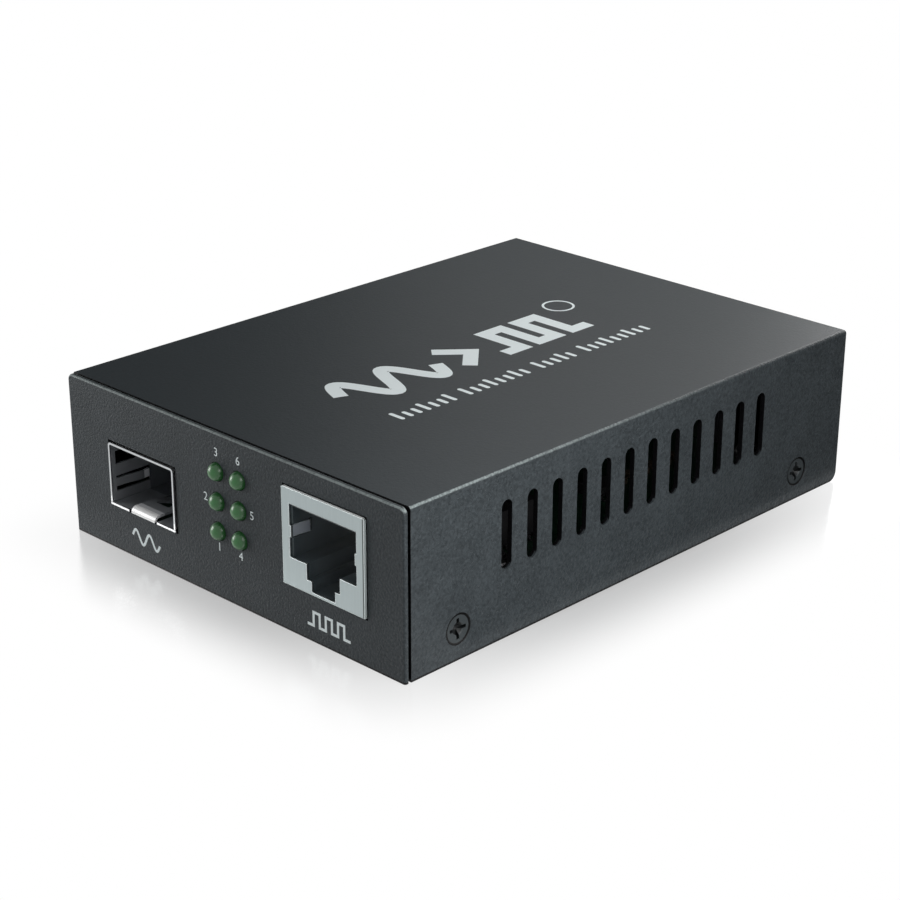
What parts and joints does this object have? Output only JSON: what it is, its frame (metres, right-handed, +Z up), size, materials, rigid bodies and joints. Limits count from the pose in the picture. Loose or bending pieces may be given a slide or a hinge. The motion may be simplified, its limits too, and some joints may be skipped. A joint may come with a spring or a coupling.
{
  "type": "fibre media converter",
  "caption": "Small black steel box that joins a plug-in fibre module slot to a copper network jack, with green status lights, slotted sides and a power inlet at the rear.",
  "frame": {"origin": "middle of the base, on the surface the case stands on, midway between the two sides and between the front plate's face and the rear plate's face", "axes": "+X to the right seen from the front, -Y out of the front plate with the ports, +Z up"},
  "size_m": [0.07, 0.0972, 0.025],
  "materials": {
    "black_coat": "fine-textured charcoal powder coat",
    "black_screw": "black coated steel",
    "brass_post": "plain turned brass",
    "board_green": "solder mask",
    "zinc_screw": "zinc plated",
    "cage_metal": "satin nickel plate",
    "shield_metal": "satin tin plate",
    "black_plastic": "moulded black plastic",
    "gold_contact": "thin gold plate",
    "tinned_wire": "tinned",
    "light_green": "clear green epoxy",
    "nickel_pin": "bright nickel plate",
    "chip_black": "moulded package",
    "can_metal": "drawn steel can",
    "can_sleeve": "shrunk sleeve",
    "coil_grey": "pressed ferrite",
    "resistor_dark": "glazed top",
    "capacitor_tan": "bare ceramic"
  },
  "bodies": {
    "root": {"base_tray": "black_coat", "top_cover": "black_coat", "cover_screws": "black_screw", "board_standoffs": "brass_post", "circuit_board": "board_green", "board_screws": "zinc_screw", "fibre_cage_shell": "cage_metal", "fibre_cage_floor": "cage_metal", "module_socket": "black_plastic", "module_socket_contacts": "gold_contact", "jack_shield": "shield_metal", "jack_housing": "black_plastic", "jack_contacts": "gold_contact", "light_leads": "tinned_wire", "light_holder": "black_plastic", "power_inlet_body": "black_plastic", "power_inlet_pin": "nickel_pin", "power_inlet_spring": "nickel_pin", "converter_chip": "chip_black", "line_transformer": "chip_black", "memory_chip": "chip_black", "voltage_regulator": "chip_black", "crystal": "can_metal", "filter_capacitors": "can_sleeve", "power_coil": "coil_grey", "chip_resistors": "resistor_dark", "chip_capacitors": "capacitor_tan", "status_light_1": "light_green", "status_light_2": "light_green", "status_light_3": "light_green", "status_light_4": "light_green", "status_light_5": "light_green", "status_light_6": "light_green"}
  },
  "joints": []
}
